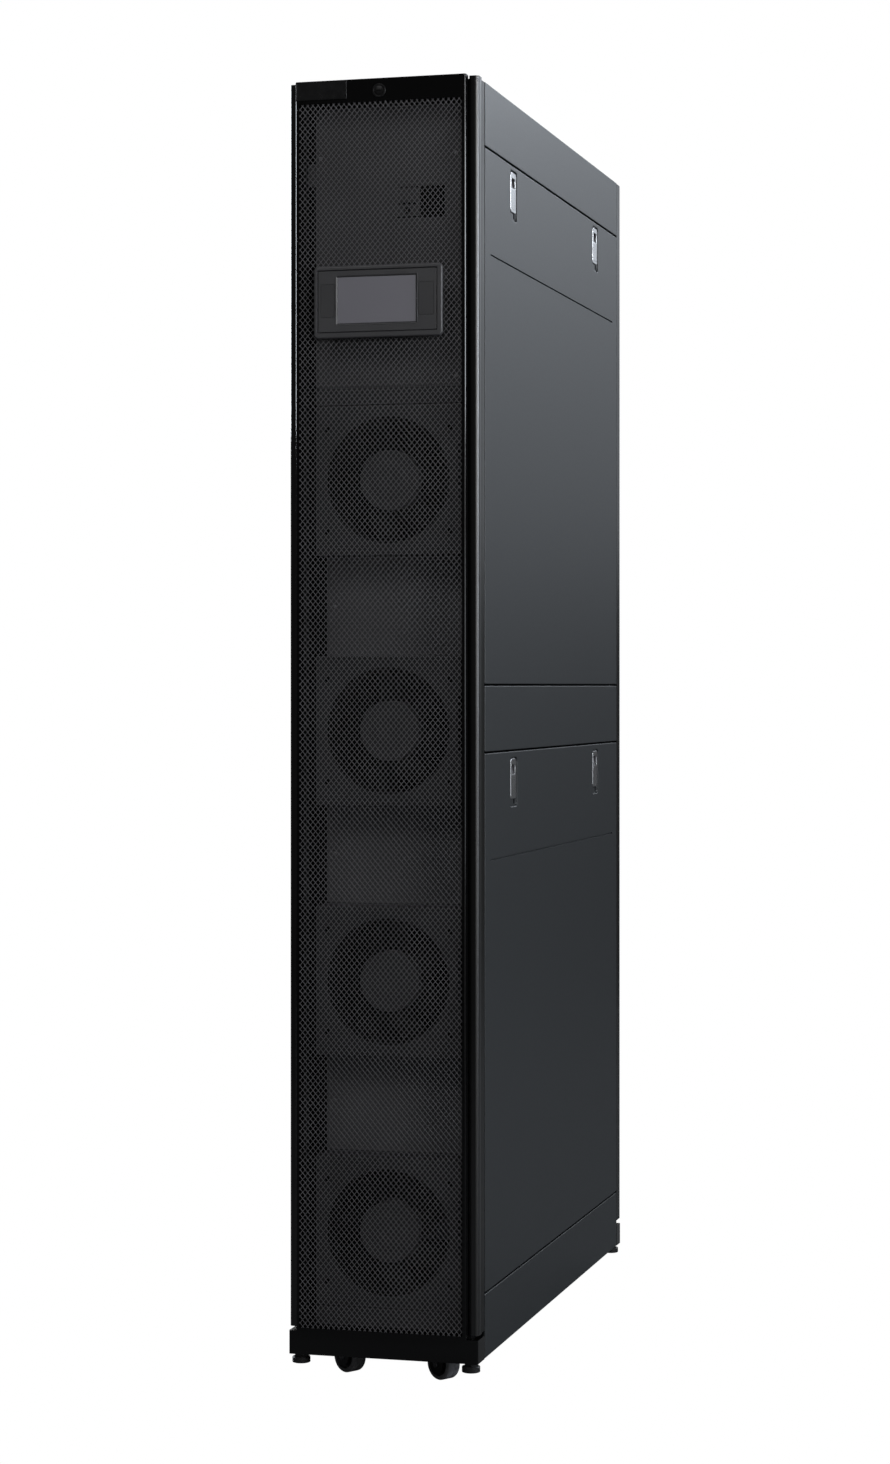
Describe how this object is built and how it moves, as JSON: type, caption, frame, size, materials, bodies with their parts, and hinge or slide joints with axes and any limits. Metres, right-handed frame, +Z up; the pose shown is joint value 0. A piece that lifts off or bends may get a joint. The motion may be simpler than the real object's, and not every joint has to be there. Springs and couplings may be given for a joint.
{
  "type": "in row cooling unit",
  "caption": "Narrow floor-standing cooling cabinet for a row of server racks: mesh doors, fan column, water coil, touch display, lift-off side panels, casters.",
  "frame": {"origin": "middle of the footprint on the floor", "axes": "+Z up, front door towards -Y, +X to the right seen from the front"},
  "size_m": [0.3, 1.095, 1.991],
  "materials": {
    "frame_black": "satin powder coat",
    "panel_grey": "fine satin powder coat",
    "inner_sheet": "satin powder coat",
    "fan_black": "matte moulded",
    "motor_metal": "satin",
    "coil_aluminium": "fine fins",
    "zinc_sheet": "zinc plated",
    "copper_pipe": "drawn copper",
    "valve_brass": "cast and machined",
    "actuator_plastic": "moulded",
    "filter_media": "pleated fleece",
    "door_black": "satin powder coat",
    "door_mesh": "satin powder coat",
    "lock_metal": "black chromated",
    "latch_silver": "satin nickel",
    "bezel_plastic": "matte moulded",
    "screen_glass": "matt touch glass",
    "caster_metal": "black zinc",
    "wheel_rubber": "rubber tread",
    "foot_black": "black oxide"
  },
  "bodies": {
    "cabinet": {"corner_posts": "frame_black", "floor_pan": "frame_black", "frame_bars": "frame_black", "door_fittings": "frame_black", "base_covers": "frame_black", "front_trims": "frame_black", "roof_panel": "panel_grey", "top_rails": "panel_grey", "mid_rails": "panel_grey", "bottom_rails": "panel_grey", "fan_plates": "inner_sheet", "fan_motors": "motor_metal", "blanking_panels": "inner_sheet", "electrical_box": "inner_sheet", "power_modules": "fan_black", "cooling_coil": "coil_aluminium", "drain_pan": "zinc_sheet", "condensate_pump": "fan_black", "supply_pipe": "copper_pipe", "return_pipe": "copper_pipe", "control_valve": "valve_brass", "valve_actuator": "actuator_plastic", "air_filters": "filter_media"},
    "front_door": {"front_door_frame": "door_black", "front_door_mesh": "door_mesh", "badge_plate": "door_black", "display_bezel": "bezel_plastic", "display_screen": "screen_glass"},
    "front_lock": {"front_door_lock": "lock_metal"},
    "rear_door": {"rear_door_frame": "door_black", "rear_door_mesh": "door_mesh"},
    "rear_lock": {"rear_door_lock": "lock_metal"},
    "fan_1": {"fan_rotor_1": "fan_black"},
    "fan_2": {"fan_rotor_2": "fan_black"},
    "fan_3": {"fan_rotor_3": "fan_black"},
    "fan_4": {"fan_rotor_4": "fan_black"},
    "side_panel_upper_right": {"side_panel_upper_right": "panel_grey"},
    "latch_upper_right_front": {"latch_upper_right_front": "latch_silver"},
    "latch_upper_right_rear": {"latch_upper_right_rear": "latch_silver"},
    "side_panel_upper_left": {"side_panel_upper_left": "panel_grey"},
    "latch_upper_left_front": {"latch_upper_left_front": "latch_silver"},
    "latch_upper_left_rear": {"latch_upper_left_rear": "latch_silver"},
    "side_panel_lower_right": {"side_panel_lower_right": "panel_grey"},
    "latch_lower_right_front": {"latch_lower_right_front": "latch_silver"},
    "latch_lower_right_rear": {"latch_lower_right_rear": "latch_silver"},
    "side_panel_lower_left": {"side_panel_lower_left": "panel_grey"},
    "latch_lower_left_front": {"latch_lower_left_front": "latch_silver"},
    "latch_lower_left_rear": {"latch_lower_left_rear": "latch_silver"},
    "caster_front_left": {"caster_yoke_front_left": "caster_metal"},
    "wheel_front_left": {"caster_wheel_front_left": "wheel_rubber"},
    "foot_front_left": {"foot_front_left": "foot_black"},
    "caster_front_right": {"caster_yoke_front_right": "caster_metal"},
    "wheel_front_right": {"caster_wheel_front_right": "wheel_rubber"},
    "foot_front_right": {"foot_front_right": "foot_black"},
    "caster_rear_left": {"caster_yoke_rear_left": "caster_metal"},
    "wheel_rear_left": {"caster_wheel_rear_left": "wheel_rubber"},
    "foot_rear_left": {"foot_rear_left": "foot_black"},
    "caster_rear_right": {"caster_yoke_rear_right": "caster_metal"},
    "wheel_rear_right": {"caster_wheel_rear_right": "wheel_rubber"},
    "foot_rear_right": {"foot_rear_right": "foot_black"}
  },
  "joints": [
    {"name": "front_door_hinge", "type": "hinge", "parent": "cabinet", "child": "front_door", "pos_m": [-0.1305, -0.5335, 1], "axis": [0, 0, 1], "range_deg": [-110, 0]},
    {"name": "front_lock_turn", "type": "hinge", "parent": "front_door", "child": "front_lock", "pos_m": [-0.0016, -0.5405, 1.972], "axis": [0, -1, 0], "range_deg": [0, 90]},
    {"name": "rear_door_hinge", "type": "hinge", "parent": "cabinet", "child": "rear_door", "pos_m": [-0.1305, 0.5335, 1], "axis": [0, 0, 1], "range_deg": [0, 110]},
    {"name": "rear_lock_turn", "type": "hinge", "parent": "rear_door", "child": "rear_lock", "pos_m": [-0.0016, 0.5405, 1.972], "axis": [0, -1, 0], "range_deg": [0, 90]},
    {"name": "fan_1_spin", "type": "hinge", "parent": "cabinet", "child": "fan_1", "pos_m": [0, -0.47, 0.228], "axis": [0, -1, 0], "continuous": true},
    {"name": "fan_2_spin", "type": "hinge", "parent": "cabinet", "child": "fan_2", "pos_m": [0, -0.47, 0.613], "axis": [0, -1, 0], "continuous": true},
    {"name": "fan_3_spin", "type": "hinge", "parent": "cabinet", "child": "fan_3", "pos_m": [0, -0.47, 0.998], "axis": [0, -1, 0], "continuous": true},
    {"name": "fan_4_spin", "type": "hinge", "parent": "cabinet", "child": "fan_4", "pos_m": [0, -0.47, 1.383], "axis": [0, -1, 0], "continuous": true},
    {"name": "side_panel_upper_right_lift_off", "type": "slide", "parent": "cabinet", "child": "side_panel_upper_right", "axis": [1, 0, 0], "range_m": [0, 0.15]},
    {"name": "latch_upper_right_front_slide", "type": "slide", "parent": "side_panel_upper_right", "child": "latch_upper_right_front", "axis": [0, 0, -1], "range_m": [0, 0.01]},
    {"name": "latch_upper_right_rear_slide", "type": "slide", "parent": "side_panel_upper_right", "child": "latch_upper_right_rear", "axis": [0, 0, -1], "range_m": [0, 0.01]},
    {"name": "side_panel_upper_left_lift_off", "type": "slide", "parent": "cabinet", "child": "side_panel_upper_left", "axis": [-1, 0, 0], "range_m": [0, 0.15]},
    {"name": "latch_upper_left_front_slide", "type": "slide", "parent": "side_panel_upper_left", "child": "latch_upper_left_front", "axis": [0, 0, -1], "range_m": [0, 0.01]},
    {"name": "latch_upper_left_rear_slide", "type": "slide", "parent": "side_panel_upper_left", "child": "latch_upper_left_rear", "axis": [0, 0, -1], "range_m": [0, 0.01]},
    {"name": "side_panel_lower_right_lift_off", "type": "slide", "parent": "cabinet", "child": "side_panel_lower_right", "axis": [1, 0, 0], "range_m": [0, 0.15]},
    {"name": "latch_lower_right_front_slide", "type": "slide", "parent": "side_panel_lower_right", "child": "latch_lower_right_front", "axis": [0, 0, -1], "range_m": [0, 0.01]},
    {"name": "latch_lower_right_rear_slide", "type": "slide", "parent": "side_panel_lower_right", "child": "latch_lower_right_rear", "axis": [0, 0, -1], "range_m": [0, 0.01]},
    {"name": "side_panel_lower_left_lift_off", "type": "slide", "parent": "cabinet", "child": "side_panel_lower_left", "axis": [-1, 0, 0], "range_m": [0, 0.15]},
    {"name": "latch_lower_left_front_slide", "type": "slide", "parent": "side_panel_lower_left", "child": "latch_lower_left_front", "axis": [0, 0, -1], "range_m": [0, 0.01]},
    {"name": "latch_lower_left_rear_slide", "type": "slide", "parent": "side_panel_lower_left", "child": "latch_lower_left_rear", "axis": [0, 0, -1], "range_m": [0, 0.01]},
    {"name": "caster_front_left_swivel", "type": "hinge", "parent": "cabinet", "child": "caster_front_left", "pos_m": [-0.067, -0.449, 0.065], "axis": [0, 0, 1], "continuous": true},
    {"name": "wheel_front_left_roll", "type": "hinge", "parent": "caster_front_left", "child": "wheel_front_left", "pos_m": [-0.07718, -0.44264, 0.025], "axis": [-0.5299, -0.848, 0], "continuous": true},
    {"name": "foot_front_left_screw", "type": "slide", "parent": "cabinet", "child": "foot_front_left", "axis": [0, 0, -1], "range_m": [0, 0.03]},
    {"name": "caster_front_right_swivel", "type": "hinge", "parent": "cabinet", "child": "caster_front_right", "pos_m": [0.067, -0.449, 0.065], "axis": [0, 0, 1], "continuous": true},
    {"name": "wheel_front_right_roll", "type": "hinge", "parent": "caster_front_right", "child": "wheel_front_right", "pos_m": [0.07718, -0.45536, 0.025], "axis": [0.5299, 0.848, 0], "continuous": true},
    {"name": "foot_front_right_screw", "type": "slide", "parent": "cabinet", "child": "foot_front_right", "axis": [0, 0, -1], "range_m": [0, 0.03]},
    {"name": "caster_rear_left_swivel", "type": "hinge", "parent": "cabinet", "child": "caster_rear_left", "pos_m": [-0.067, 0.449, 0.065], "axis": [0, 0, 1], "continuous": true},
    {"name": "wheel_rear_left_roll", "type": "hinge", "parent": "caster_rear_left", "child": "wheel_rear_left", "pos_m": [-0.07718, 0.45536, 0.025], "axis": [-0.5299, -0.848, 0], "continuous": true},
    {"name": "foot_rear_left_screw", "type": "slide", "parent": "cabinet", "child": "foot_rear_left", "axis": [0, 0, -1], "range_m": [0, 0.03]},
    {"name": "caster_rear_right_swivel", "type": "hinge", "parent": "cabinet", "child": "caster_rear_right", "pos_m": [0.067, 0.449, 0.065], "axis": [0, 0, 1], "continuous": true},
    {"name": "wheel_rear_right_roll", "type": "hinge", "parent": "caster_rear_right", "child": "wheel_rear_right", "pos_m": [0.07718, 0.44264, 0.025], "axis": [0.5299, 0.848, 0], "continuous": true},
    {"name": "foot_rear_right_screw", "type": "slide", "parent": "cabinet", "child": "foot_rear_right", "axis": [0, 0, -1], "range_m": [0, 0.03]}
  ]
}
